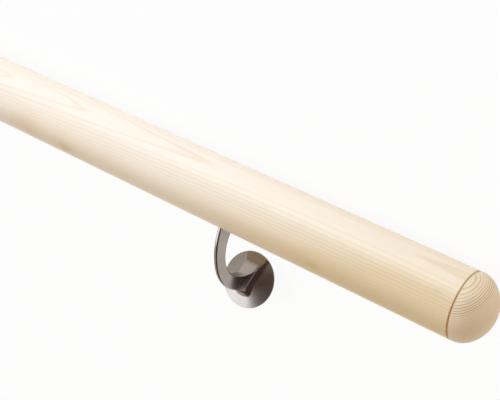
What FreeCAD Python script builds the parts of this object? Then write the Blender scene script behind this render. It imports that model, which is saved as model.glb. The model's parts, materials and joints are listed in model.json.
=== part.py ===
"""Round softwood stair handrail with domed end caps and two cast wall brackets, lying on a floor.

Each piece is drawn in the wall's frame: X along the rail, Y into the wall, Z up, with the rail's axis
at the origin. The placements then lay the whole rail down on the back of the pole and the upper rims
of the roses, which is how it rests when nothing holds it.
"""
import FreeCAD, Part
import math
import os
import Sketcher
from FreeCAD import Placement, Rotation, Vector

# Driving dimensions in millimetres and degrees, each with its alias in the sheet.
SIZES = [
    ("rail_diameter", 54.0, "round pole"),
    ("rail_length", 1500.0, "pole between its two end caps"),
    ("rail_arris", 0.5, "broken edge at the pole's ends"),
    ("cap_height", 22.4, "dome, from its rim to its crown"),
    ("cap_shoulder_radius", 18.5, "dome's round near the rim"),
    ("cap_gap_width", 1.5, "shadow gap between pole and dome"),
    ("cap_gap_depth", 1.6, "depth of the shadow gap"),
    ("cap_spigot_diameter", 20.0, "dowel of the cap in the pole"),
    ("cap_spigot_length", 25.0, "dowel of the cap in the pole"),
    ("spigot_clearance", 0.1, "radial room round dowels and studs"),
    ("bore_end_room", 1.0, "room past the end of dowels and studs"),
    ("bracket_inset", 209.8, "bracket's middle from the end of the pole"),
    ("wall_distance", 71.0, "rail's axis to the wall"),
    ("rose_drop", 69.2, "rail's axis to the rose's centre"),
    ("rose_diameter", 49.6, "round foot on the wall"),
    ("rose_rim", 1.0, "thickness of the rose's edge"),
    ("rose_slope", 15.0, "angle of the rose's conical front to the wall"),
    ("rose_crown", 8.0, "diameter at which the conical front ends inside the flare"),
    ("flare_overrun", 1.0, "flare's upper side carried past the rim before it is trimmed"),
    ("flare_foot", 13.5, "flare's lower side below the rose's centre"),
    ("flare_top_width", 24.0, "flare's upper side where it lands"),
    ("flare_foot_width", 18.0, "flare's lower side where it lands"),
    ("flare_top_corner", 2.5, "round of the flare's upper corners where it lands"),
    ("flare_foot_corner", 5.0, "round of the flare's lower corners where it lands"),
    ("trim_height", 10.0, "reach of the cut that trims the flare to the rim"),
    ("rose_fillet", 6.0, "round where the flare leaves the rose"),
    ("arm_reach", 46.5, "rail's axis to the arm's lowest point, towards the wall"),
    ("arm_sag", 2.6, "arm's lowest point below the rose's centre"),
    ("arm_depth_rail", 15.5, "arm at the pole, across the bend"),
    ("arm_depth_middle", 9.4, "arm at its slimmest"),
    ("arm_depth_rose", 14.0, "arm where the flare begins"),
    ("arm_inner_width", 7.6, "arm's face towards the pole and wall"),
    ("arm_front_width", 3.4, "arm's face towards the room"),
    ("arm_corner", 1.2, "round of the arm's edges"),
    ("seat_depth", 4.0, "arm carried up past the pole's underside before the saddle is cut"),
    ("stud_diameter", 5.0, "fixing stud cast on the arm"),
    ("stud_length", 14.0, "stud above the pole's underside"),
    ("bolt_hole_diameter", 6.8, "tapping hole for the wall bolt"),
    ("bolt_hole_depth", 12.0, "tapping hole for the wall bolt"),
]

# Values that follow from the driving dimensions.
DERIVED = [
    ("rail_radius", "=rail_diameter / 2"),
    ("rose_radius", "=rose_diameter / 2"),
    ("bend_height", "=rail_radius - seat_depth"),
    ("bend_drop", "=rose_drop + arm_sag - bend_height"),
    ("flare_top", "=rose_radius + flare_overrun"),
    ("flare_length", "=wall_distance - rose_rim - arm_reach"),
    ("rose_lip", "=rose_drop - rose_radius"),
    ("lip_reach", "=sqrt(wall_distance ^ 2 + rose_lip ^ 2)"),
    ("lie_angle", "=acos(rail_radius / lip_reach) / 1deg - atan(rose_lip / wall_distance) / 1deg"),
    ("rose_foot", "=rose_drop + rose_radius"),
    ("rose_reach", "=wall_distance * sin(lie_angle * 1deg) + rose_foot * cos(lie_angle * 1deg)"),
    ("lie_shift", "=(rose_reach - rail_radius) / 2"),
]

# Arm stations round the bend: angle in degrees from the rail, and how far the depth has gone from
# its rail value to its slimmest (first share) and on to its value at the rose (second share).
ARM_STATIONS = [
    (0, 0.0, 0.0), (12, 0.5, 0.0), (26, 0.8, 0.0), (42, 1.0, 0.0),
    (60, 1.0, 0.15), (76, 1.0, 0.5), (90, 1.0, 1.0),
]

# Flare stations along an ellipse, in degrees from the arm's end to the flare's end on the rose.
FLARE_STATIONS = [20, 36, 48, 58, 66, 72]

ENDS = {"near": 1, "far": -1}

os.makedirs("parts", exist_ok=True)
doc = FreeCAD.newDocument("stair_handrail")


def make_sheet():
    """Sheet with one row for each value: name, number or formula, and what it measures."""
    sheet = doc.addObject("Spreadsheet::Sheet", "Sizes")
    rows = [(name, str(value), note) for name, value, note in SIZES]
    rows += [(name, formula, "follows from the rest") for name, formula in DERIVED]
    for number, (name, content, note) in enumerate(rows, 1):
        sheet.set(f"A{number}", name)
        sheet.set(f"B{number}", content)
        sheet.set(f"C{number}", note)
        sheet.setAlias(f"B{number}", name)
    doc.recompute()
    return sheet


sheet = make_sheet()


def size(name):
    """Current value of a cell, for the first guess of a sketch that is then bound to the sheet."""
    return float(getattr(sheet, name))


def origin_plane(body, role):
    return next(plane for plane in body.Origin.OriginFeatures if plane.Role == role)


def sketch_on(body, name, role):
    sketch = body.newObject("Sketcher::SketchObject", name)
    sketch.AttachmentSupport = [(origin_plane(body, role), "")]
    sketch.MapMode = "FlatFace"
    return sketch


def evaluate(owner, formula):
    """Number that a formula of sheet values gives now."""
    return float(owner.evalExpression(formula))


def bind(sketch, name, formula, kind, *places):
    """Add a dimension with a name and tie it to a formula of sheet values."""
    index = sketch.addConstraint(Sketcher.Constraint(kind, *places, evaluate(sketch, formula)))
    sketch.renameConstraint(index, name)
    sketch.setExpression(f"Constraints.{name}", formula)


def lay_down(body, along):
    """Turn a piece from the wall's frame to its rest on the floor, moved along the rail."""
    body.setExpression(
        "Placement",
        f"create(<<placement>>; create(<<vector>>; {along}; Sizes.lie_shift; Sizes.rail_radius);"
        " create(<<rotation>>; create(<<vector>>; 1; 0; 0); -90 - Sizes.lie_angle))",
    )


def circle_sketch(body, name, role, diameter):
    sketch = sketch_on(body, name, role)
    circle = sketch.addGeometry(Part.Circle(Vector(), Vector(0, 0, 1), size(diameter) / 2))
    sketch.addConstraint(Sketcher.Constraint("Coincident", circle, 3, -1, 1))
    bind(sketch, "across", f"Sizes.{diameter}", "Diameter", circle)
    return sketch


def drill(body, name, role, offset, diameter, depth, flipped):
    """Round blind hole from a plane through the body's origin, moved to the hole's mouth."""
    sketch = sketch_on(body, f"{name}_circle", role)
    for axis, formula in offset.items():
        sketch.setExpression(f"AttachmentOffset.Base.{axis}", formula)
    circle = sketch.addGeometry(Part.Circle(Vector(), Vector(0, 0, 1), 1.0))
    sketch.addConstraint(Sketcher.Constraint("Coincident", circle, 3, -1, 1))
    bind(sketch, "across", diameter, "Diameter", circle)
    pocket = body.newObject("PartDesign::Pocket", name)
    pocket.Profile = sketch
    pocket.Reversed = flipped
    pocket.setExpression("Length", depth)
    sketch.Visibility = False
    return pocket


def make_rail():
    """Turned pole, with a bore at each end for a cap's dowel and one below for each bracket's stud."""
    body = doc.addObject("PartDesign::Body", "rail")
    pad = body.newObject("PartDesign::Pad", "pole")
    pad.Profile = circle_sketch(body, "pole_section", "YZ_Plane", "rail_diameter")
    pad.SideType = "Symmetric"
    pad.setExpression("Length", "Sizes.rail_length")
    doc.recompute()
    arris = body.newObject("PartDesign::Chamfer", "end_arris")
    arris.Base = (pad, [f"Edge{i}" for i, edge in enumerate(pad.Shape.Edges, 1) if len(edge.Vertexes) == 1])
    arris.setExpression("Size", "Sizes.rail_arris")
    for end, sign in ENDS.items():
        drill(
            body, f"cap_bore_{end}", "YZ_Plane", {"z": f"{sign} * Sizes.rail_length / 2"},
            "Sizes.cap_spigot_diameter + 2 * Sizes.spigot_clearance",
            "Sizes.cap_spigot_length + Sizes.bore_end_room", sign < 0,
        )
        drill(
            body, f"stud_bore_{end}", "XY_Plane",
            {"x": f"{sign} * (Sizes.rail_length / 2 - Sizes.bracket_inset)", "z": "-Sizes.rail_radius"},
            "Sizes.stud_diameter + 2 * Sizes.spigot_clearance",
            "Sizes.stud_length + Sizes.bore_end_room", True,
        )
    lay_down(body, "0")
    return body


def make_cap(end, sign):
    """Turned dome with a narrower neck, which leaves the shadow gap, and a dowel for the pole's bore."""
    body = doc.addObject("PartDesign::Body", f"end_cap_{end}")
    sketch = sketch_on(body, f"cap_profile_{end}", "XY_Plane")
    neck = size("rail_radius") - size("cap_gap_depth")
    dowel = size("cap_spigot_diameter") / 2
    rim = size("cap_gap_width")
    crown_x = rim + size("cap_height")
    round_radius = size("cap_shoulder_radius")
    shoulder = Vector(rim, size("rail_radius") - round_radius)
    height = size("cap_height")
    crown_radius = (height**2 + shoulder.y**2 - round_radius**2) / (2 * (height - round_radius))
    crown = Vector(crown_x - crown_radius, 0)
    turn = math.atan2(shoulder.y - crown.y, shoulder.x - crown.x)
    corners = [
        Vector(-size("cap_spigot_length"), 0), Vector(-size("cap_spigot_length"), dowel),
        Vector(0, dowel), Vector(0, neck), Vector(rim, neck), Vector(rim, size("rail_radius")),
    ]
    for start, stop in zip(corners, corners[1:]):
        sketch.addGeometry(Part.LineSegment(start, stop))
    normal = Vector(0, 0, 1)
    sketch.addGeometry(Part.ArcOfCircle(Part.Circle(shoulder, normal, round_radius), turn, math.pi / 2))
    sketch.addGeometry(Part.ArcOfCircle(Part.Circle(crown, normal, crown_radius), 0, turn))
    sketch.addGeometry(Part.LineSegment(Vector(crown_x, 0), corners[0]))
    last_line, shoulder_arc, crown_arc, axis_line = 4, 5, 6, 7
    for line in range(last_line):
        sketch.addConstraint(Sketcher.Constraint("Coincident", line, 2, line + 1, 1))
    for line, way in enumerate(["Vertical", "Horizontal", "Vertical", "Horizontal", "Vertical"]):
        sketch.addConstraint(Sketcher.Constraint(way, line))
    sketch.addConstraint(Sketcher.Constraint("Coincident", last_line, 2, shoulder_arc, 2))
    sketch.addConstraint(Sketcher.Constraint("Tangent", shoulder_arc, 1, crown_arc, 2))
    sketch.addConstraint(Sketcher.Constraint("Coincident", crown_arc, 1, axis_line, 1))
    sketch.addConstraint(Sketcher.Constraint("Coincident", axis_line, 2, 0, 1))
    sketch.addConstraint(Sketcher.Constraint("PointOnObject", axis_line, 1, -1))
    sketch.addConstraint(Sketcher.Constraint("PointOnObject", axis_line, 2, -1))
    sketch.addConstraint(Sketcher.Constraint("PointOnObject", crown_arc, 3, -1))
    sketch.addConstraint(Sketcher.Constraint("PointOnObject", 2, 1, -2))
    sketch.addConstraint(Sketcher.Constraint("Vertical", shoulder_arc, 3, last_line, 2))
    bind(sketch, "dowel_length", "Sizes.cap_spigot_length", "DistanceX", 0, 1, -1, 1)
    bind(sketch, "dowel_radius", "Sizes.cap_spigot_diameter / 2", "DistanceY", 0, 1, 0, 2)
    bind(sketch, "neck_radius", "Sizes.rail_radius - Sizes.cap_gap_depth", "DistanceY", -1, 1, 2, 2)
    bind(sketch, "gap_width", "Sizes.cap_gap_width", "DistanceX", 3, 1, 3, 2)
    bind(sketch, "rim_radius", "Sizes.rail_radius", "DistanceY", -1, 1, 4, 2)
    bind(sketch, "dome_height", "Sizes.cap_height", "DistanceX", 4, 2, crown_arc, 1)
    bind(sketch, "shoulder", "Sizes.cap_shoulder_radius", "Radius", shoulder_arc)
    turned = body.newObject("PartDesign::Revolution", f"turned_cap_{end}")
    turned.Profile = sketch
    turned.ReferenceAxis = (sketch, ["H_Axis"])
    turned.Angle = 360
    if sign < 0:
        sketch.AttachmentOffset = Placement(Vector(), Rotation(Vector(0, 1, 0), 180))
    lay_down(body, f"{sign} * Sizes.rail_length / 2")
    return body


def rounded_section(body, name, inner, outer, inner_width, outer_width, inner_corner, outer_corner, place):
    """Four-sided section with rounded corners, its inner side nearest to the bend's axis."""
    sketch = sketch_on(body, name, "XY_Plane")
    formulas = (inner, outer, inner_width, outer_width, inner_corner, outer_corner)
    add_rounded_outline(sketch, *(evaluate(sketch, formula) for formula in formulas))
    bind(sketch, "inner", inner, "DistanceY", -1, 1, 0, 1)
    bind(sketch, "outer", outer, "DistanceY", -1, 1, 4, 1)
    bind(sketch, "inner_corner", inner_corner, "Radius", 1)
    bind(sketch, "outer_corner", outer_corner, "Radius", 3)
    bind(sketch, "inner_width", f"{inner_width} - 2 * ({inner_corner})", "DistanceX", 7, 3, 1, 3)
    bind(sketch, "outer_width", f"{outer_width} - 2 * ({outer_corner})", "DistanceX", 5, 3, 3, 3)
    sketch.setExpression("AttachmentOffset", place)
    return sketch


def add_rounded_outline(sketch, inner, outer, inner_width, outer_width, inner_corner, outer_corner):
    """Four lines and four tangent arcs, as inner side, corner, right side and so on round the outline."""
    right_in = Vector(inner_width / 2 - inner_corner, inner + inner_corner)
    right_out = Vector(outer_width / 2 - outer_corner, outer - outer_corner)
    span = right_out - right_in
    lean = math.atan2(span.y, span.x) - math.acos((inner_corner - outer_corner) / span.Length)
    right = Vector(math.cos(lean), math.sin(lean))
    left = Vector(-right.x, right.y)
    down, up = Vector(0, -1), Vector(0, 1)
    corners = [
        (right_in, inner_corner, down, right), (right_out, outer_corner, right, up),
        (Vector(-right_out.x, right_out.y), outer_corner, up, left),
        (Vector(-right_in.x, right_in.y), inner_corner, left, down),
    ]
    normal = Vector(0, 0, 1)
    previous = corners[3][0] + down * inner_corner
    for centre, radius, first, second in corners:
        sketch.addGeometry(Part.LineSegment(previous, centre + first * radius))
        start = math.atan2(first.y, first.x)
        stop = math.atan2(second.y, second.x)
        sketch.addGeometry(Part.ArcOfCircle(Part.Circle(centre, normal, radius), start, stop))
        previous = centre + second * radius
    for edge in range(sketch.GeometryCount):
        following = (edge + 1) % sketch.GeometryCount
        sketch.addConstraint(Sketcher.Constraint("Tangent", edge, 2, following, 1))
    sketch.addConstraint(Sketcher.Constraint("Symmetric", 0, 1, 0, 2, -2))
    sketch.addConstraint(Sketcher.Constraint("Symmetric", 4, 1, 4, 2, -2))
    sketch.addConstraint(Sketcher.Constraint("Equal", 1, 7))
    sketch.addConstraint(Sketcher.Constraint("Equal", 3, 5))


def arm_section(body, end, angle, to_middle, to_rose):
    """Section of the arm on a plane through the bend's axis; the arm's middle follows an ellipse."""
    depth = (
        f"(Sizes.arm_depth_rail + {to_middle} * (Sizes.arm_depth_middle - Sizes.arm_depth_rail)"
        f" + {to_rose} * (Sizes.arm_depth_rose - Sizes.arm_depth_middle))"
    )
    middle = f"1 / sqrt((cos({angle}) / Sizes.arm_reach) ^ 2 + (sin({angle}) / Sizes.bend_drop) ^ 2)"
    place = (
        "create(<<placement>>; create(<<vector>>; 0; Sizes.arm_reach; -Sizes.bend_height);"
        f" create(<<rotation>>; create(<<vector>>; 1; 0; 0); {180 + angle}))"
    )
    return rounded_section(
        body, f"arm_{angle}_{end}", f"{middle} - {depth} / 2", f"{middle} + {depth} / 2",
        "Sizes.arm_inner_width", "Sizes.arm_front_width", "Sizes.arm_corner", "Sizes.arm_corner", place,
    )


def flare_section(body, end, angle):
    """Section of the flare, which opens along an ellipse from the arm to the rose.

    The corners round off later than the section opens, so the four ridges stay crisp well into the flare.
    """
    turn, last_turn = math.radians(angle), math.radians(FLARE_STATIONS[-1])
    along = math.sin(turn) / math.sin(last_turn)
    open_share = (1 - math.cos(turn)) / (1 - math.cos(last_turn))

    def opened(arm, rose, share=open_share):
        return f"({arm}) + {share} * (({rose}) - ({arm}))"

    place = (
        "create(<<placement>>; create(<<vector>>; 0;"
        f" Sizes.arm_reach + {along} * Sizes.flare_length; -Sizes.bend_height);"
        " create(<<rotation>>; create(<<vector>>; 1; 0; 0); 270))"
    )
    rose_middle = "Sizes.rose_drop - Sizes.bend_height"
    return rounded_section(
        body, f"flare_{angle}_{end}",
        opened("Sizes.bend_drop - Sizes.arm_depth_rose / 2", f"{rose_middle} - Sizes.flare_top"),
        opened("Sizes.bend_drop + Sizes.arm_depth_rose / 2", f"{rose_middle} + Sizes.flare_foot"),
        opened("Sizes.arm_inner_width", "Sizes.flare_top_width"),
        opened("Sizes.arm_front_width", "Sizes.flare_foot_width"),
        opened("Sizes.arm_corner", "Sizes.flare_top_corner", open_share**2),
        opened("Sizes.arm_corner", "Sizes.flare_foot_corner", open_share**2), place,
    )


def rose_profile(body, end):
    """Half section of the rose, with a thin rim and a conical front, turned about the way into the wall."""
    sketch = sketch_on(body, f"rose_profile_{end}", "XY_Plane")
    sketch.setExpression("AttachmentOffset.Base.z", "-Sizes.rose_drop")
    rim, crown, back = size("rose_radius"), size("rose_crown") / 2, size("wall_distance")
    front = back - size("rose_rim")
    top = front - (rim - crown) * math.tan(math.radians(size("rose_slope")))
    corners = [Vector(0, back), Vector(rim, back), Vector(rim, front), Vector(crown, top), Vector(0, top)]
    for number, start in enumerate(corners):
        sketch.addGeometry(Part.LineSegment(start, corners[(number + 1) % len(corners)]))
    back_line, rim_line, cone_line, top_line, axis_line = range(len(corners))
    for line in range(len(corners)):
        sketch.addConstraint(Sketcher.Constraint("Coincident", line, 2, (line + 1) % len(corners), 1))
    for line, way in [(back_line, "Horizontal"), (rim_line, "Vertical"), (top_line, "Horizontal")]:
        sketch.addConstraint(Sketcher.Constraint(way, line))
    sketch.addConstraint(Sketcher.Constraint("PointOnObject", back_line, 1, -2))
    sketch.addConstraint(Sketcher.Constraint("PointOnObject", axis_line, 1, -2))
    bind(sketch, "wall", "Sizes.wall_distance", "DistanceY", -1, 1, back_line, 1)
    bind(sketch, "rim_radius", "Sizes.rose_radius", "DistanceX", back_line, 1, back_line, 2)
    bind(sketch, "rim", "Sizes.rose_rim", "DistanceY", rim_line, 2, rim_line, 1)
    bind(sketch, "crown", "Sizes.rose_crown / 2", "DistanceX", axis_line, 1, cone_line, 2)
    bind(
        sketch, "rise", "(Sizes.rose_radius - Sizes.rose_crown / 2) * tan(Sizes.rose_slope * 1deg)",
        "DistanceY", cone_line, 2, cone_line, 1,
    )
    return sketch


def seam_edges(shape):
    """Names of the edges where the flare leaves the rose's conical front, without the rim's own edge."""
    cones = [face for face in shape.Faces if isinstance(face.Surface, Part.Cone)]
    seams = [edge for face in cones for edge in face.Edges if isinstance(edge.Curve, Part.BSplineCurve)]
    return [f"Edge{i}" for i, edge in enumerate(shape.Edges, 1) if any(edge.isSame(seam) for seam in seams)]


def make_bracket(end, sign):
    """One casting: stud, arm round the bend, flare and rose, with a tapped hole in the rose's back.

    The flare's upper side fans out past the rose's rim and is trimmed to it before the rose is turned.
    """
    body = doc.addObject("PartDesign::Body", f"bracket_{end}")
    sections = [arm_section(body, end, *station) for station in ARM_STATIONS]
    sections += [flare_section(body, end, angle) for angle in FLARE_STATIONS]
    doc.recompute()
    loft = body.newObject("PartDesign::AdditiveLoft", f"casting_{end}")
    loft.Profile = sections[0]
    loft.Sections = sections[1:]
    doc.recompute()

    rim_circle = circle_sketch(body, f"rim_circle_{end}", "XZ_Plane", "rose_diameter")
    outside = rim_circle.addGeometry(Part.Circle(Vector(), Vector(0, 0, 1), size("rose_diameter")))
    rim_circle.addConstraint(Sketcher.Constraint("Coincident", outside, 3, -1, 1))
    bind(rim_circle, "outside", "2 * Sizes.rose_diameter", "Diameter", outside)
    rim_circle.setExpression("AttachmentOffset.Base.y", "-Sizes.rose_drop")
    rim_circle.setExpression("AttachmentOffset.Base.z", "-Sizes.wall_distance")
    trim = body.newObject("PartDesign::Pocket", f"rim_trim_{end}")
    trim.Profile = rim_circle
    trim.Reversed = True
    trim.setExpression("Length", "Sizes.trim_height")

    rose = body.newObject("PartDesign::Revolution", f"rose_{end}")
    rose.Profile = rose_profile(body, end)
    rose.ReferenceAxis = (rose.Profile[0], ["V_Axis"])
    rose.Angle = 360
    doc.recompute()
    fillet = body.newObject("PartDesign::Fillet", f"rose_fillet_{end}")
    fillet.Base = (rose, seam_edges(rose.Shape))
    fillet.setExpression("Radius", "Sizes.rose_fillet")

    saddle = circle_sketch(body, f"saddle_circle_{end}", "YZ_Plane", "rail_diameter")
    cut = body.newObject("PartDesign::Pocket", f"saddle_{end}")
    cut.Profile = saddle
    cut.SideType = "Symmetric"
    cut.setExpression("Length", "2 * Sizes.rail_diameter")

    stud_circle = circle_sketch(body, f"stud_circle_{end}", "XY_Plane", "stud_diameter")
    stud_circle.setExpression("AttachmentOffset.Base.z", "-Sizes.rail_radius - Sizes.arm_corner")
    stud = body.newObject("PartDesign::Pad", f"stud_{end}")
    stud.Profile = stud_circle
    stud.setExpression("Length", "Sizes.stud_length + Sizes.arm_corner")

    drill(
        body, f"bolt_hole_{end}", "XZ_Plane", {"y": "-Sizes.rose_drop", "z": "-Sizes.wall_distance"},
        "Sizes.bolt_hole_diameter", "Sizes.bolt_hole_depth", True,
    )
    lay_down(body, f"{sign} * (Sizes.rail_length / 2 - Sizes.bracket_inset)")
    return body


def check(pieces):
    """Stop if any object failed or any piece is not one valid solid."""
    for item in doc.Objects:
        if "Invalid" in item.State or "Error" in item.State:
            raise RuntimeError(f"{item.Name} failed: {item.State}")
    for piece in pieces:
        shape = piece.Shape
        if shape.isNull() or not shape.isValid() or len(shape.Solids) != 1:
            raise RuntimeError(f"{piece.Label} is not one valid solid")


pieces = [make_rail()]
for end, sign in ENDS.items():
    pieces.append(make_cap(end, sign))
    pieces.append(make_bracket(end, sign))
doc.recompute()
check(pieces)
for piece in pieces:
    piece.Shape.exportStep(f"parts/{piece.Label}.step")
    box = piece.Shape.BoundBox
    low = [round(value, 1) for value in (box.XMin, box.YMin, box.ZMin)]
    high = [round(value, 1) for value in (box.XMax, box.YMax, box.ZMax)]
    print(piece.Label, round(piece.Shape.Volume), "mm3", low, high)
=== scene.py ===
"""Looks of a round pine stair handrail: smooth pole, turned end caps and satin nickel wall brackets."""

import json
import math
from typing import NamedTuple

import bmesh
import bpy
from bpy.props import FloatProperty, FloatVectorProperty, IntProperty, PointerProperty
from mathutils import Euler, Matrix, Vector


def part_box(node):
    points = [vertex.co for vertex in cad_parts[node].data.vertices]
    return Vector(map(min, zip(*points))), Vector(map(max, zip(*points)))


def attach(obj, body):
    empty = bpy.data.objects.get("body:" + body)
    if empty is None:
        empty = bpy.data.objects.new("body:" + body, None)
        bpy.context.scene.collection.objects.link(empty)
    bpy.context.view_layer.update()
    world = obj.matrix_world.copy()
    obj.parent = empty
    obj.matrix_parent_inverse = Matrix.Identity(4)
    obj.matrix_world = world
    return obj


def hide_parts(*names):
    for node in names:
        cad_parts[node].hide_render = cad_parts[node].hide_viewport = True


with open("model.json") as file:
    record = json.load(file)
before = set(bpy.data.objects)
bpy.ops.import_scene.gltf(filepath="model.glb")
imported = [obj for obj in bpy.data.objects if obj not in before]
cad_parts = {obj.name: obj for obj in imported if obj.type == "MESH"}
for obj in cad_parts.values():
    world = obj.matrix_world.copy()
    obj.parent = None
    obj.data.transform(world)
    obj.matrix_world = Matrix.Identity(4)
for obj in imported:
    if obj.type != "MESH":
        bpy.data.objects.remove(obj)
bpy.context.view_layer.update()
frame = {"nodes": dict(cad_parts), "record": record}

bl_info = {
    "name": "Pine stair handrail",
    "version": (1, 0, 0),
    "blender": (4, 5, 0),
    "location": "View3D > Sidebar > Handrail",
    "description": "Dresses the packed handrail with pine, satin nickel and a white studio",
    "category": "Object",
}

MILLIMETRE = 0.001


def millimetres(value):
    """Length in metres of a number of millimetres."""
    return value * MILLIMETRE


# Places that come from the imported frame, in metres.
BRACKETS = ("bracket_near", "bracket_far")
CAP_LOW, CAP_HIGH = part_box("end_cap_near")
POLE_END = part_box("rail")[1].x
POLE_DIAMETER = CAP_HIGH.z - CAP_LOW.z
POLE_AXIS = Vector((0, (CAP_LOW.y + CAP_HIGH.y) / 2, (CAP_LOW.z + CAP_HIGH.z) / 2))
MOUNTS = {mount["name"]: mount for mount in frame["record"]["mounts"]}

# The wall's own directions as the handrail lies: along the rail, into the wall, and up the wall.
ALONG = Vector((1, 0, 0))
INTO_WALL = Vector(MOUNTS["wall_bolt_near"]["axis"]).normalized()
UP_WALL = ALONG.cross(INTO_WALL)

# Gap between the pole and a cap's dome, in which the cap's turned neck shows, and its soft edge.
SHADOW_GAP = millimetres(1.5)
GAP_EDGE = millimetres(0.1)

# The pole's pith runs through two points: metres along the rail, and degrees round the pole.
POLE_PITH = ((0.345, 38.6), (0.715, 51))
POLE_PITH_REACH = millimetres(90)

# Knots and stains of the pole: metres along the rail, degrees round the pole, size in millimetres, share of
# dark heart and share of stain.
POLE_KNOTS = (
    (0.6355, -45, 3.8, 0.7, 0.3),
    (0.736, 10, 1.5, 0.5, 0.0),
    (0.371, -50, 3.8, 0.6, 0.35),
    (0.325, -42, 5.0, 0.0, 0.4),
    (0.12, 150, 3.0, 0.6, 0.2),
    (-0.31, 20, 2.4, 0.6, 0.1),
    (-0.58, -120, 3.2, 0.6, 0.2),
)
KNOT_BEND = 0.8

# Rings of each cap: its end of the rail, degrees round the pole and millimetres off its axis to the pith, the
# pith's turn to the side in degrees, and the radii in millimetres between which its rings are clear.
CAP_RINGS = {
    "end_cap_near": (1, -133.05, 100.6, 8.97, 116.2, 121.2),
    "end_cap_far": (-1, 115, 104, -6, 101, 109),
}
CAP_PITH_TILT = math.radians(-0.39)
CAP_PITH_HEIGHT = millimetres(12)

# Scales of the wood's figure, in features per millimetre along the grain and, twice, across it.
SWAY_SCALE = (0.0045, 0.035, 0.035)
RIPPLE_SCALE = (0.018, 0.11, 0.11)
FIBRE_SCALE = (0.02, 0.9, 0.9)
TONE_SCALE = (0.0035, 0.022, 0.022)

# Ripple and uneven years, as shares of the wander, and how fast the years change.
RIPPLE_SHARE = 0.8
UNEVEN_SHARE = 0.22
UNEVEN_PACE = 0.31

# Shares of a year at which its dark line is full and then stops, and the line's strength in a poor year.
LINE_FULL = 0.87
LINE_STOP = 0.88
POOR_YEAR = 0.7

# Fade of the clear rings, in millimetres outside and inside their radii, and the strength of rings past them.
FADE_OUTSIDE = 1.5
FADE_INSIDE = 0.5
PAST_SHARE = 0.55

# Radii in millimetres between which the wood turns from pale to warm. On the pole the pale wood lies on the
# side that faces the key lamp, so the warm outer wood is partly real tone and partly painted shade on the
# side away from it.
PALE_TO, WARM_FROM = 58.0, 88.0

# A knot's reach in sizes, for its heart and for its swell, its stretch along the rail, and how deep it goes.
HEART_REACH, SWELL_REACH = 1.6, 4.5
KNOT_STRETCH = (0.62, 1.0, 1.0)
KNOT_DEEP, KNOT_SHALLOW = -20.0, -8.0

# Warmth of the pine: millimetres from the rail's middle between which it grows, as painted shade that darkens
# and warms the wood towards the rail's ends, its least share, and the limits and share of the slow tone.
END_SHADE_FROM, END_SHADE_TO, LEAST_WARMTH = 430.0, 760.0, 0.2
TONE_LOW, TONE_HIGH, TONE_WARMTH = 0.42, 0.75, 0.2

# Lacquered pine: fineness of its mottle, and shares of fibre and mottle in its shade, gloss and relief.
PINE_FINENESS = 0.9
FIBRE_SHADE, FIBRE_GLOSS, FIBRE_RELIEF = 0.09, 0.10, 0.6
PINE_MOTTLE_GLOSS = 0.12
PINE_RELIEF, PINE_BUMP = millimetres(0.12), 0.25

# Satin nickel: fineness of its mottle, its share in the gloss, the worn tint and the relief.
NICKEL_FINENESS = 4.5
NICKEL_MOTTLE_GLOSS = 0.16
WORN_SHARE, WORN_LOW, WORN_HIGH = 0.86, 0.3, 0.75
NICKEL_RELIEF, NICKEL_BUMP = millimetres(0.05), 0.12
DRIFT_SCALE = 0.045

# Studio: paint of the floor, the sky's pale and dark side, the point that the lamps face, and the camera's
# sensor in millimetres.
FLOOR_PAINT = (0.95, 0.95, 0.95)
WHITE = (1.0, 1.0, 1.0)
PALE_SKY, DARK_SKY = (0.78, 0.74, 0.69), (0.11, 0.06, 0.055)
PALE_SIDE, DARK_SIDE = -0.55, 0.1
LIT_MIDDLE = Vector((0.4, 0.0, 0.02))
SENSOR_WIDTH = 36.0

# Turned edges that are sharper than this stay crisp, and points closer than this are one.
CRISP_EDGE = math.radians(30)
SAME_POINT = millimetres(0.01)


class HandrailPole(bpy.types.PropertyGroup):
    """Sizes of the turned pole."""

    diameter: FloatProperty(
        name="Diameter", description="Across the pole", default=POLE_DIAMETER, unit="LENGTH")
    length: FloatProperty(
        name="Length", description="Pole between its end caps", default=2 * POLE_END, unit="LENGTH")
    arris: FloatProperty(
        name="Arris", description="Broken edge at each end", default=millimetres(0.5), unit="LENGTH")
    bore: FloatProperty(
        name="End bore", description="Bore for a cap's dowel", default=millimetres(20.2), unit="LENGTH")
    bore_depth: FloatProperty(
        name="End bore depth", description="Depth of that bore", default=millimetres(26), unit="LENGTH")
    sides: IntProperty(name="Sides", description="Faces round the pole", default=128, min=24)
    bays: IntProperty(name="Bays", description="Faces along the pole", default=48, min=1)


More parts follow.
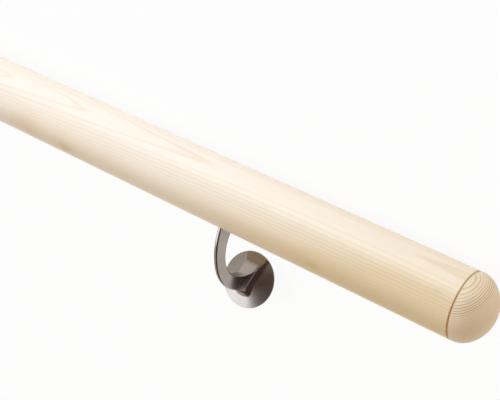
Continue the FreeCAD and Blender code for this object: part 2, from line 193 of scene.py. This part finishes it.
class HandrailPine(bpy.types.PropertyGroup):
    """Colours and figure of the pine."""

    earlywood: FloatVectorProperty(
        name="Earlywood", description="Pale wood of a growth ring",
        default=(0.845, 0.763, 0.665), subtype="COLOR", min=0, max=1)
    latewood: FloatVectorProperty(
        name="Latewood", description="Dark line that ends a growth ring",
        default=(0.77, 0.65, 0.50), subtype="COLOR", min=0, max=1)
    knot: FloatVectorProperty(
        name="Knot", description="Heart of a pin knot",
        default=(0.62, 0.45, 0.21), subtype="COLOR", min=0, max=1)
    end_grain: FloatVectorProperty(
        name="End grain latewood", description="Dark line of a ring on the caps",
        default=(0.45, 0.26, 0.11), subtype="COLOR", min=0, max=1)
    neck: FloatVectorProperty(
        name="Neck", description="Turned neck of a cap, in the shadow gap",
        default=(0.80, 0.59, 0.31), subtype="COLOR", min=0, max=1)
    # This tint also paints shade: towards the rail's ends, and partly on the pole's side away from the key
    # lamp.
    warmth: FloatVectorProperty(
        name="Warmth", description="Tint of the outer wood, of stains and of the rail's ends",
        default=(0.84, 0.75, 0.53), subtype="COLOR", min=0, max=1)
    ring_width: FloatProperty(
        name="Ring width", description="Growth in a year, in the pole, in millimetres",
        default=2.45, min=0.3)
    cap_ring_width: FloatProperty(
        name="Cap ring width", description="Growth in a year, in the caps, in millimetres",
        default=1.35, min=0.3)
    roughness: FloatProperty(
        name="Roughness", description="Of the matt lacquer", default=0.5, subtype="FACTOR", min=0, max=1)


class HandrailNickel(bpy.types.PropertyGroup):
    """Finish of the cast brackets."""

    colour: FloatVectorProperty(
        name="Colour", description="Satin nickel", default=(0.385, 0.34, 0.30), subtype="COLOR", min=0, max=1)
    roughness: FloatProperty(
        name="Roughness", description="Of the satin plate", default=0.23, subtype="FACTOR", min=0, max=1)


class HandrailStage(bpy.types.PropertyGroup):
    """Camera of the picture, in the wall's frame about the near shadow gap, and the floor."""

    camera_place: FloatVectorProperty(
        name="Camera", description="Along the rail, into the wall and up",
        default=(0.2588, -0.7886, 0.1114), subtype="TRANSLATION", unit="LENGTH")
    camera_heading: FloatProperty(
        name="Heading", description="Turn to the left of straight at the wall",
        default=math.radians(30.05), subtype="ANGLE")
    camera_pitch: FloatProperty(
        name="Pitch", description="Tilt upwards", default=math.radians(-6.75), subtype="ANGLE")
    camera_roll: FloatProperty(
        name="Roll", description="Turn about the line of sight", default=math.radians(20.99), subtype="ANGLE")
    camera_lens: FloatProperty(name="Lens", description="Focal length in millimetres", default=82.8)
    shadow_gap: FloatProperty(
        name="Shadow gap", description="Between pole and dome", default=SHADOW_GAP, unit="LENGTH")
    floor_size: FloatProperty(name="Floor", description="Side of the floor", default=60.0, unit="LENGTH")
    floor_white: FloatProperty(
        name="Floor white", description="Share of the floor's white that no shadow takes away",
        default=0.92, subtype="FACTOR", min=0, max=1)


class PineFigure(NamedTuple):
    """Growth rings and knots of one turned piece, with lengths in millimetres and places in metres."""

    pith: Vector
    lean: Euler
    ring_width: float
    wander: float
    line_colour: tuple
    line_from: float
    clear_from: float
    clear_to: float
    faint_share: float
    warm_shift: float
    shift: float = 0.0
    bow: float = 0.0
    bow_middle: float = 0.0
    bow_period: float = 1.0
    knots: tuple = ()


def around_pole(angle):
    """Direction out of the pole's surface, in degrees from the room towards the top of the hung rail."""
    turn = math.radians(angle)
    return -INTO_WALL * math.cos(turn) + UP_WALL * math.sin(turn)


def feed(tree, socket, value):
    """Set a socket to a number or colour, or link it to another socket."""
    if isinstance(value, bpy.types.NodeSocket):
        tree.links.new(value, socket)
    else:
        socket.default_value = value


def add(tree, kind, inputs=None, **settings):
    """New node with its settings made and its inputs fed, by name or number."""
    node = tree.nodes.new(kind)
    for name, value in settings.items():
        setattr(node, name, value)
    for name, value in (inputs or {}).items():
        feed(tree, node.inputs[name], value)
    return node


def calculate(tree, operation, first, second=0.0, clamp=False):
    """Number worked out from one or two others."""
    node = add(tree, "ShaderNodeMath", {0: first, 1: second}, operation=operation, use_clamp=clamp)
    return node.outputs[0]


def combine(tree, operation, first, second):
    """Vector worked out from two others."""
    return add(tree, "ShaderNodeVectorMath", {0: first, 1: second}, operation=operation).outputs["Vector"]


def measure(tree, operation, first, second=(0, 0, 0)):
    """Number worked out from one or two vectors."""
    return add(tree, "ShaderNodeVectorMath", {0: first, 1: second}, operation=operation).outputs["Value"]


def noise(tree, vector, scale, detail=2.0, roughness=0.5):
    """Noise from 0 to 1, with its features per millimetre in each direction."""
    vector = combine(tree, "MULTIPLY", vector, scale)
    inputs = {"Vector": vector, "Scale": 1.0, "Detail": detail, "Roughness": roughness}
    return add(tree, "ShaderNodeTexNoise", inputs).outputs["Fac"]


def about_zero(tree, value):
    """Value from 0 to 1 moved to lie about zero."""
    return calculate(tree, "SUBTRACT", value, 0.5)


def ease(tree, value, low, high, start=0.0, stop=1.0):
    """Smooth step of a value between two limits."""
    inputs = {"Value": value, "From Min": low, "From Max": high, "To Min": start, "To Max": stop}
    return add(tree, "ShaderNodeMapRange", inputs, interpolation_type="SMOOTHSTEP").outputs["Result"]


def blend(tree, share, first, second, kind="MIX"):
    """Two colours mixed by a share."""
    node = add(tree, "ShaderNodeMix", data_type="RGBA", blend_type=kind)
    for name, value in (("Factor_Float", share), ("A_Color", first), ("B_Color", second)):
        socket = next(s for s in node.inputs if s.identifier == name)
        feed(tree, socket, value)
    return next(s for s in node.outputs if s.identifier == "Result_Color")


def opaque(colour):
    """Colour with full alpha, as a colour socket takes it."""
    return (*colour, 1.0)


def empty_tree(owner):
    """Node tree of a material or world, with nothing in it."""
    owner.use_nodes = True
    owner.node_tree.nodes.clear()
    return owner.node_tree


def new_group(name, inputs, outputs):
    """Empty shader node group, with the sockets of its inputs and outputs."""
    tree = bpy.data.node_groups.new(name, "ShaderNodeTree")
    for label, kind in inputs:
        tree.interface.new_socket(label, in_out="INPUT", socket_type=kind)
    for label in outputs:
        tree.interface.new_socket(label, in_out="OUTPUT", socket_type="NodeSocketFloat")
    return tree, add(tree, "NodeGroupInput").outputs, add(tree, "NodeGroupOutput").inputs


def use_group(tree, name, inputs):
    """Outputs of a node group that is placed in a material with its own values."""
    return add(tree, "ShaderNodeGroup", inputs, node_tree=bpy.data.node_groups[name]).outputs


def growth_ring_group():
    """Growth rings about a pith that runs along X, all in millimetres."""
    number = "NodeSocketFloat"
    tree, given, made = new_group(
        "growth_rings",
        [("Grain", "NodeSocketVector"), ("Ring Width", number), ("Wander", number), ("Swell", number),
         ("Clear From", number), ("Clear To", number), ("Faint Share", number), ("Late From", number)],
        ["Latewood", "Fibre", "Tone", "Outer Wood And Painted Shade"],
    )
    grain, wander = given["Grain"], given["Wander"]
    radius = measure(tree, "LENGTH", combine(tree, "MULTIPLY", grain, (0, 1, 1)))
    sway = about_zero(tree, noise(tree, grain, SWAY_SCALE, detail=1.0))
    sway = calculate(tree, "MULTIPLY", sway, wander)
    ripple = about_zero(tree, noise(tree, grain, RIPPLE_SCALE))
    ripple = calculate(tree, "MULTIPLY", ripple, calculate(tree, "MULTIPLY", wander, RIPPLE_SHARE))
    radius = calculate(tree, "ADD", radius, calculate(tree, "ADD", sway, ripple))
    # Outer wood turns warm; on the pole this is partly painted shade, on the side away from the key lamp.
    feed(tree, made["Outer Wood And Painted Shade"], ease(tree, radius, PALE_TO, WARM_FROM))

    radius = calculate(tree, "ADD", radius, given["Swell"])
    years = calculate(tree, "DIVIDE", radius, given["Ring Width"])
    pace = calculate(tree, "MULTIPLY", years, UNEVEN_PACE)
    uneven = add(
        tree, "ShaderNodeTexNoise", {"W": pace, "Scale": 1.0, "Detail": 1.0},
        noise_dimensions="1D").outputs["Fac"]
    uneven = calculate(tree, "MULTIPLY", uneven, calculate(tree, "MULTIPLY", wander, UNEVEN_SHARE))
    years = calculate(tree, "ADD", years, uneven)

    season = calculate(tree, "FRACT", years)
    year = calculate(tree, "FLOOR", years)
    vigour = add(tree, "ShaderNodeTexWhiteNoise", {"W": year}, noise_dimensions="1D").outputs["Value"]
    late = calculate(
        tree, "MULTIPLY", ease(tree, season, given["Late From"], LINE_FULL),
        ease(tree, season, LINE_STOP, 1.0, 1.0, 0.0))
    late = calculate(tree, "MULTIPLY", late, ease(tree, vigour, 0.0, 1.0, POOR_YEAR, 1.0))
    inner = calculate(tree, "SUBTRACT", radius, given["Clear From"])
    outer = calculate(tree, "SUBTRACT", radius, given["Clear To"])
    inner_share = ease(tree, inner, -FADE_OUTSIDE, FADE_INSIDE, given["Faint Share"], 1.0)
    outer_share = ease(tree, outer, -FADE_INSIDE, FADE_OUTSIDE, 1.0, PAST_SHARE)
    late = calculate(tree, "MULTIPLY", calculate(tree, "MULTIPLY", late, inner_share), outer_share)
    feed(tree, made["Latewood"], late)
    feed(tree, made["Fibre"], noise(tree, grain, FIBRE_SCALE, detail=3.0, roughness=0.6))
    feed(tree, made["Tone"], noise(tree, grain, TONE_SCALE))


def pin_knot_group():
    """Small knot: its dark heart and the way it swells the rings round it."""
    vector = "NodeSocketVector"
    tree, given, made = new_group(
        "pin_knot",
        [("Place", vector), ("Knot", vector), ("Branch", vector), ("Size", "NodeSocketFloat")],
        ["Heart", "Swell"],
    )
    branch = given["Branch"]
    away = combine(tree, "SUBTRACT", given["Place"], given["Knot"])
    out = measure(tree, "DOT_PRODUCT", away, branch)
    core = add(tree, "ShaderNodeVectorMath", {0: branch, "Scale": out}, operation="SCALE").outputs["Vector"]
    off = combine(tree, "MULTIPLY", combine(tree, "SUBTRACT", away, core), KNOT_STRETCH)
    distance = calculate(tree, "DIVIDE", measure(tree, "LENGTH", off), given["Size"])
    shallow = ease(tree, out, KNOT_DEEP, KNOT_SHALLOW)
    for label, reach in (("Heart", HEART_REACH), ("Swell", SWELL_REACH)):
        mark = ease(tree, distance, 0.0, reach, 1.0, 0.0)
        feed(tree, made[label], calculate(tree, "MULTIPLY", mark, shallow))


def fine_mottle_group():
    """Fine even mottle of a finish, and a slow drift in it."""
    tree, given, made = new_group(
        "fine_mottle", [("Place", "NodeSocketVector"), ("Fineness", "NodeSocketFloat")], ["Mottle", "Drift"])
    for label, scale, detail in (("Mottle", given["Fineness"], 3.0), ("Drift", DRIFT_SCALE, 2.0)):
        inputs = {"Vector": given["Place"], "Scale": scale, "Detail": detail}
        feed(tree, made[label], add(tree, "ShaderNodeTexNoise", inputs).outputs["Fac"])


def piece_places(tree, origin=(0, 0, 0), lean=(0, 0, 0)):
    """Object coordinates in millimetres, about an origin in metres and along a line's lean."""
    place = add(tree, "ShaderNodeTexCoord").outputs["Object"]
    inputs = {"Vector": place, "Location": origin, "Rotation": lean, "Scale": (MILLIMETRE,) * 3}
    return add(tree, "ShaderNodeMapping", inputs, vector_type="TEXTURE").outputs["Vector"]


def new_material(name):
    """Material with a Principled shader, and the piece's own coordinates in millimetres."""
    material = bpy.data.materials.new(name)
    tree = empty_tree(material)
    shader = add(tree, "ShaderNodeBsdfPrincipled")
    add(tree, "ShaderNodeOutputMaterial", {"Surface": shader.outputs["BSDF"]})
    return material, tree, shader, piece_places(tree)


def mottle_gloss(tree, mottle, share, roughness):
    """Roughness that a finish's mottle varies."""
    return calculate(tree, "ADD", calculate(tree, "MULTIPLY", about_zero(tree, mottle), share), roughness)


def relief(tree, shader, height, strength, depth):
    """Fine bump on a shader's surface."""
    bump = add(tree, "ShaderNodeBump", {"Height": height, "Strength": strength, "Distance": depth})
    feed(tree, shader.inputs["Normal"], bump.outputs["Normal"])


def ring_bow(tree, along, figure):
    """Slow bow of the rings along the rail, in millimetres."""
    turn = calculate(tree, "SUBTRACT", along, figure.bow_middle)
    turn = calculate(tree, "MULTIPLY", turn, 2 * math.pi / figure.bow_period)
    dip = calculate(tree, "SUBTRACT", calculate(tree, "COSINE", turn), 1.0)
    return calculate(tree, "MULTIPLY", dip, figure.bow / 2)


def pine_warmth(tree, rings, from_middle, warm_shift, stain):
    """Warm tint's share: outer wood, partly painted shade on the pole; painted shade at the rail's ends;
    stains.
    """
    # Painted shade: the warm tint darkens the wood more towards the rail's ends, in place of the light's
    # fall-off there.
    ends = ease(tree, from_middle, END_SHADE_FROM, END_SHADE_TO, LEAST_WARMTH, 1.0)
    warm = calculate(tree, "MULTIPLY", calculate(tree, "ADD", rings["Outer Wood And Painted Shade"], warm_shift), ends)
    warm = calculate(tree, "ADD", warm, ease(tree, rings["Tone"], TONE_LOW, TONE_HIGH, 0.0, TONE_WARMTH))
    return calculate(tree, "ADD", warm, stain, clamp=True)


def neck_share(tree, from_middle):
    """Mask of a cap's neck, between the pole's end and the dome."""
    start, stop = POLE_END, POLE_END + SHADOW_GAP
    before = ease(tree, from_middle, (stop - GAP_EDGE) / MILLIMETRE, (stop + GAP_EDGE) / MILLIMETRE, 1.0, 0.0)
    after = ease(tree, from_middle, (start - GAP_EDGE) / MILLIMETRE, (start + GAP_EDGE) / MILLIMETRE)
    return calculate(tree, "MULTIPLY", before, after)


def pine_material(name, look, figure):
    """Lacquered pine, with the growth rings, knots and warmth of one turned piece."""
    material, tree, shader, place = new_material(name)
    along = add(tree, "ShaderNodeSeparateXYZ", {0: place}).outputs["X"]
    from_middle = calculate(tree, "ABSOLUTE", along)

    heart, stain, swell = 0.0, 0.0, figure.shift
    if figure.bow:
        swell = calculate(tree, "ADD", ring_bow(tree, along, figure), swell)
    for centre, branch, size, heart_share, stain_share in figure.knots:
        knot = use_group(tree, "pin_knot", {
            "Place": place, "Knot": centre / MILLIMETRE, "Branch": branch, "Size": size})
        heart = calculate(tree, "MAXIMUM", calculate(tree, "MULTIPLY", knot["Heart"], heart_share), heart)
        stain = calculate(tree, "MAXIMUM", calculate(tree, "MULTIPLY", knot["Swell"], stain_share), stain)
        bend = calculate(tree, "MULTIPLY", knot["Swell"], KNOT_BEND * size * heart_share)
        swell = calculate(tree, "ADD", bend, swell)
    rings = use_group(tree, "growth_rings", {
        "Grain": piece_places(tree, figure.pith, figure.lean), "Ring Width": figure.ring_width,
        "Wander": figure.wander, "Swell": swell, "Clear From": figure.clear_from, "Clear To": figure.clear_to,
        "Faint Share": figure.faint_share, "Late From": figure.line_from})
    fibre = about_zero(tree, rings["Fibre"])

    wood = blend(tree, rings["Latewood"], opaque(look.earlywood), opaque(figure.line_colour))
    warm = pine_warmth(tree, rings, from_middle, figure.warm_shift, stain)
    wood = blend(tree, warm, wood, opaque(look.warmth), "MULTIPLY")
    shade = calculate(tree, "ADD", 1.0, calculate(tree, "MULTIPLY", fibre, FIBRE_SHADE))
    grey = add(tree, "ShaderNodeCombineColor", {"Red": shade, "Green": shade, "Blue": shade}).outputs["Color"]
    wood = blend(tree, 1.0, wood, grey, "MULTIPLY")
    wood = blend(tree, neck_share(tree, from_middle), wood, opaque(look.neck))
    if figure.knots:
        wood = blend(tree, heart, wood, opaque(look.knot))
    feed(tree, shader.inputs["Base Color"], wood)

    finish = use_group(tree, "fine_mottle", {"Place": place, "Fineness": PINE_FINENESS})
    gloss = mottle_gloss(tree, finish["Mottle"], PINE_MOTTLE_GLOSS, look.roughness)
    gloss = calculate(tree, "ADD", gloss, calculate(tree, "MULTIPLY", fibre, FIBRE_GLOSS))
    feed(tree, shader.inputs["Roughness"], gloss)
    height = calculate(tree, "MULTIPLY", rings["Fibre"], FIBRE_RELIEF)
    relief(tree, shader, calculate(tree, "ADD", rings["Latewood"], height), PINE_BUMP, PINE_RELIEF)
    return material


def nickel_material(look):
    """Satin nickel plate on a casting."""
    material, tree, shader, place = new_material("satin_nickel_plate")
    finish = use_group(tree, "fine_mottle", {"Place": place, "Fineness": NICKEL_FINENESS})
    worn = tuple(channel * WORN_SHARE for channel in look.colour)
    wear = ease(tree, finish["Drift"], WORN_LOW, WORN_HIGH)
    feed(tree, shader.inputs["Base Color"], blend(tree, wear, opaque(look.colour), opaque(worn)))
    feed(tree, shader.inputs["Metallic"], 1.0)
    gloss = mottle_gloss(tree, finish["Mottle"], NICKEL_MOTTLE_GLOSS, look.roughness)
    feed(tree, shader.inputs["Roughness"], gloss)
    relief(tree, shader, finish["Mottle"], NICKEL_BUMP, NICKEL_RELIEF)
    return material


def link_object(name, data):
    """New object of a mesh, lamp or camera, in the scene."""
    thing = bpy.data.objects.new(name, data)
    bpy.context.scene.collection.objects.link(thing)
    return thing


def pole_mesh(sizes):
    """Pole turned from half its outline: end bores, end faces, broken edges and the long side."""
    radius, end = sizes.diameter / 2, sizes.length / 2
    half = [
        (end - sizes.bore_depth, 0.0), (end - sizes.bore_depth, sizes.bore / 2), (end, sizes.bore / 2),
        (end, radius - sizes.arris), (end - sizes.arris, radius),
    ]
    outline = half + [(-x, r) for x, r in reversed(half)]
    shape = bmesh.new()
    points = [shape.verts.new(POLE_AXIS + Vector((x, r, 0))) for x, r in outline]
    edges = [shape.edges.new(pair) for pair in zip(points, points[1:])]
    long_side = edges[len(half) - 1]
    bmesh.ops.subdivide_edges(shape, edges=[long_side], cuts=sizes.bays - 1)
    bmesh.ops.spin(
        shape, geom=shape.verts[:] + shape.edges[:], cent=POLE_AXIS, axis=ALONG, angle=2 * math.pi,
        steps=sizes.sides, use_merge=True)
    bmesh.ops.remove_doubles(shape, verts=shape.verts, dist=SAME_POINT)
    bmesh.ops.recalc_face_normals(shape, faces=shape.faces)
    for face in shape.faces:
        face.smooth = True
    mesh = bpy.data.meshes.new("pole")
    shape.to_mesh(mesh)
    shape.free()
    mesh.set_sharp_from_angle(angle=CRISP_EDGE)
    return mesh


def pole_figure(look):
    """Rings of the pole, which bow slowly along it about a pith to one side, and its knots."""
    pith, further = (
        POLE_AXIS + ALONG * x + around_pole(angle) * POLE_PITH_REACH for x, angle in POLE_PITH)
    knots = []
    for x, angle, size, heart, stain in POLE_KNOTS:
        branch = around_pole(angle)
        knots.append((POLE_AXIS + ALONG * x + branch * POLE_DIAMETER / 2, branch, size, heart, stain))
    return PineFigure(
        pith=pith, lean=(further - pith).to_track_quat("X", "Z").to_euler(),
        ring_width=look.ring_width, wander=1.3, line_colour=look.latewood, line_from=0.64,
        clear_from=67, clear_to=200, faint_share=0.75, warm_shift=0.26, shift=1.12,
        bow=11.4, bow_middle=600, bow_period=1200, knots=tuple(knots))


def cap_figure(look, name):
    """Rings of a cap, about a pith beside its dome."""
    end, angle, reach, turn, clear_from, clear_to = CAP_RINGS[name]
    dome = end * (POLE_END + CAP_PITH_HEIGHT)
    return PineFigure(
        pith=POLE_AXIS + ALONG * dome + around_pole(angle) * millimetres(reach),
        lean=Euler((0.0, CAP_PITH_TILT, math.radians(turn))),
        ring_width=look.cap_ring_width, wander=0.4, line_colour=look.end_grain, line_from=0.5,
        clear_from=clear_from, clear_to=clear_to, faint_share=0.45, warm_shift=-0.32)


class HANDRAIL_OT_pole(bpy.types.Operator):
    """Turn the smooth pine pole in place of the faceted one"""

    bl_idname = "handrail.pole"
    bl_label = "Pole"

    def execute(self, context):
        look = context.scene.handrail_pine
        pole = link_object("pole", pole_mesh(context.scene.handrail_pole))
        pole.data.materials.append(pine_material("pine_pole", look, pole_figure(look)))
        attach(pole, "root")
        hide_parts("rail")
        return {"FINISHED"}


class HANDRAIL_OT_caps(bpy.types.Operator):
    """Give each turned end cap its own end grain"""

    bl_idname = "handrail.caps"
    bl_label = "End caps"

    def execute(self, context):
        look = context.scene.handrail_pine
        for name in CAP_RINGS:
            cap = frame["nodes"][name]
            cap.material_slots[0].material = pine_material(f"pine_{name}", look, cap_figure(look, name))
        return {"FINISHED"}


class HANDRAIL_OT_brackets(bpy.types.Operator):
    """Give the cast brackets their satin nickel"""

    bl_idname = "handrail.brackets"
    bl_label = "Wall brackets"

    def execute(self, context):
        nickel = nickel_material(context.scene.handrail_nickel)
        for name in BRACKETS:
            bracket = frame["nodes"][name]
            bracket.material_slots[0].material = nickel
        return {"FINISHED"}


def floor_material(white):
    """Matt white floor that the camera and mirrors see mostly as plain white, with the object's shadow."""
    material = bpy.data.materials.new("white_floor")
    tree = empty_tree(material)
    paths = add(tree, "ShaderNodeLightPath").outputs
    seen = calculate(tree, "MAXIMUM", paths["Is Camera Ray"], paths["Is Glossy Ray"])
    seen = calculate(tree, "MAXIMUM", seen, paths["Is Transmission Ray"])
    share = calculate(tree, "MULTIPLY", seen, white)
    matt = add(tree, "ShaderNodeBsdfDiffuse", {"Color": opaque(FLOOR_PAINT)})
    plain = add(tree, "ShaderNodeEmission", {"Color": opaque(WHITE), "Strength": 1.0})
    mix = add(tree, "ShaderNodeMixShader", {0: share, 1: matt.outputs[0], 2: plain.outputs[0]})
    add(tree, "ShaderNodeOutputMaterial", {"Surface": mix.outputs[0]})
    return material


def studio_floor(stage):
    """Wide white floor under the handrail."""
    shape = bmesh.new()
    bmesh.ops.create_grid(shape, x_segments=1, y_segments=1, size=stage.floor_size / 2)
    mesh = bpy.data.meshes.new("floor")
    shape.to_mesh(mesh)
    shape.free()
    mesh.materials.append(floor_material(stage.floor_white))
    floor = link_object("floor", mesh)


def add_lamp(name, place, size, power, colour, lights=True, mirrored=True):
    """Soft lamp that faces the rail, and that lights matt surfaces, is mirrored by metal, or both."""
    light = bpy.data.lights.new(name, "AREA")
    light.shape = "RECTANGLE"
    light.size, light.size_y = size
    light.energy = power
    light.color = colour
    lamp = link_object(name, light)
    lamp.visible_diffuse = lights
    lamp.visible_glossy = mirrored
    lamp.location = place
    lamp.rotation_euler = (LIT_MIDDLE - Vector(place)).to_track_quat("-Z", "Y").to_euler()


def studio_lamps():
    """Low cool key, soft light from above with a card that only metal mirrors, and warm fill and back."""
    add_lamp(
        "key", place=(0.15, 1.7, 0.27), size=(1.6, 0.5), power=22.8, colour=(0.82, 0.90, 1.0))
    add_lamp(
        "overhead", place=(-0.9, 0.3, 2.4), size=(1.7, 1.7), power=28.0, colour=(0.97, 0.98, 1.0),
        mirrored=False)
    add_lamp(
        "white_card", place=(-0.86, 0.29, 2.33), size=(1.7, 1.7), power=21.5, colour=(0.72, 0.83, 1.0),
        lights=False)
    add_lamp(
        "fill", place=(2.6, 0.0, 0.3), size=(1.0, 1.0), power=17.0, colour=(1.0, 0.89, 0.72),
        mirrored=False)
    add_lamp(
        "back", place=(1.1, -2.2, 1.6), size=(1.4, 1.4), power=15.5, colour=(1.0, 0.93, 0.80),
        mirrored=False)


def studio_world():
    """Soft warm sky, dark towards the near end, which the near side of each bracket mirrors."""
    world = bpy.data.worlds.new("studio")
    bpy.context.scene.world = world
    tree = empty_tree(world)
    way = add(tree, "ShaderNodeTexCoord").outputs["Generated"]
    side = add(tree, "ShaderNodeSeparateXYZ", {0: way}).outputs["X"]
    sky = blend(tree, ease(tree, side, PALE_SIDE, DARK_SIDE), opaque(PALE_SKY), opaque(DARK_SKY))
    background = add(tree, "ShaderNodeBackground", {"Color": sky, "Strength": 1.0})
    add(tree, "ShaderNodeOutputWorld", {"Surface": background.outputs[0]})


def photo_camera(stage):
    """Camera at the picture's viewing angle, given in the wall's frame about the near shadow gap."""
    data = bpy.data.cameras.new("camera")
    data.lens = stage.camera_lens
    data.sensor_width = SENSOR_WIDTH
    camera = link_object("camera", data)
    gap = POLE_AXIS + ALONG * (POLE_END + stage.shadow_gap / 2)
    wall = Matrix((ALONG, INTO_WALL, UP_WALL)).transposed()
    turn = (
        Matrix.Rotation(stage.camera_heading, 3, "Z")
        @ Matrix.Rotation(math.pi / 2 + stage.camera_pitch, 3, "X")
        @ Matrix.Rotation(stage.camera_roll, 3, "Z")
    )
    camera.matrix_world = Matrix.Translation(gap + wall @ Vector(stage.camera_place)) @ (wall @ turn).to_4x4()
    bpy.context.scene.camera = camera


class HANDRAIL_OT_stage(bpy.types.Operator):
    """Lay the white floor, hang the soft lamps and set the camera"""

    bl_idname = "handrail.stage"
    bl_label = "Stage"

    def execute(self, context):
        stage = context.scene.handrail_stage
        studio_floor(stage)
        studio_world()
        studio_lamps()
        photo_camera(stage)
        context.scene.view_settings.view_transform = "Standard"
        return {"FINISHED"}


class HANDRAIL_PT_panel(bpy.types.Panel):
    """Pieces of the handrail and what can be changed on them"""

    bl_label = "Handrail"
    bl_idname = "HANDRAIL_PT_panel"
    bl_space_type = "VIEW_3D"
    bl_region_type = "UI"
    bl_category = "Handrail"

    def draw(self, context):
        for operator, group in STEPS:
            box = self.layout.box()
            box.operator(operator.bl_idname)
            settings = getattr(context.scene, group)
            for name in settings.__annotations__:
                box.prop(settings, name)


GROUPS = {
    "handrail_pole": HandrailPole,
    "handrail_pine": HandrailPine,
    "handrail_nickel": HandrailNickel,
    "handrail_stage": HandrailStage,
}
STEPS = (
    (HANDRAIL_OT_pole, "handrail_pole"),
    (HANDRAIL_OT_caps, "handrail_pine"),
    (HANDRAIL_OT_brackets, "handrail_nickel"),
    (HANDRAIL_OT_stage, "handrail_stage"),
)
CLASSES = (*GROUPS.values(), *(operator for operator, group in STEPS), HANDRAIL_PT_panel)


def register():
    """Add the property groups, operators and panel to Blender."""
    for item in CLASSES:
        bpy.utils.register_class(item)
    for name, group in GROUPS.items():
        setattr(bpy.types.Scene, name, PointerProperty(type=group))


def unregister():
    """Take them away again."""
    for name in GROUPS:
        delattr(bpy.types.Scene, name)
    for item in reversed(CLASSES):
        bpy.utils.unregister_class(item)


def main():
    """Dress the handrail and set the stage."""
    register()
    growth_ring_group()
    pin_knot_group()
    fine_mottle_group()
    bpy.ops.handrail.pole()
    bpy.ops.handrail.caps()
    bpy.ops.handrail.brackets()
    bpy.ops.handrail.stage()


if __name__ == "__main__":
    main()
